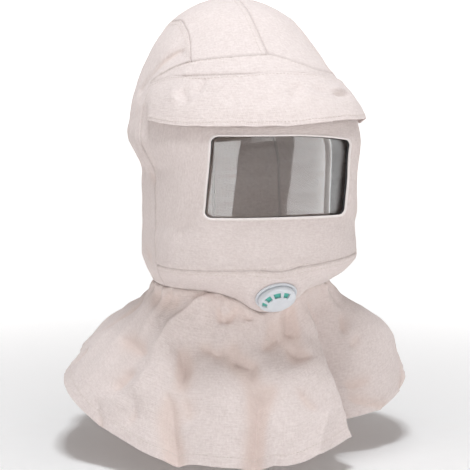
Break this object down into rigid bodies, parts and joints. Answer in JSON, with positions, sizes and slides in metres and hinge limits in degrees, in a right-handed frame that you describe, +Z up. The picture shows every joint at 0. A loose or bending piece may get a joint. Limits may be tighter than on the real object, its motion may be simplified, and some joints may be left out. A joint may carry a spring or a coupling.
{
  "type": "sandblasting hood",
  "caption": "Natural canvas sandblasting hood with a clear curved window under a hanging flap, a slotted exhalation valve at the chin and a shoulder cape in folds.",
  "frame": {"origin": "Inside of the crown, on the hood's middle plane, where it sits on a head.", "axes": "+Z up, front of the hood towards -Y, +X to the viewer's right from the front."},
  "size_m": [0.3783, 0.3445, 0.4654],
  "materials": {
    "canvas": "natural undyed cotton canvas with a fine slub weave",
    "visor": "clear glossy sheet",
    "seal": "dark matt strip",
    "valve_plastic": "moulded white, satin",
    "valve_disc": "green moulded disc"
  },
  "bodies": {
    "root": {"crown_panel_left": "canvas", "crown_panel_right": "canvas", "side_panel_left": "canvas", "side_panel_right": "canvas", "brow_panel": "canvas", "brow_flap": "canvas", "face_panel": "canvas", "chin_panel": "canvas", "cape": "canvas", "window_binding": "canvas", "window_seal": "seal", "visor": "visor", "valve_base": "valve_plastic", "valve_disc": "valve_disc", "valve_cap": "valve_plastic"}
  },
  "joints": []
}
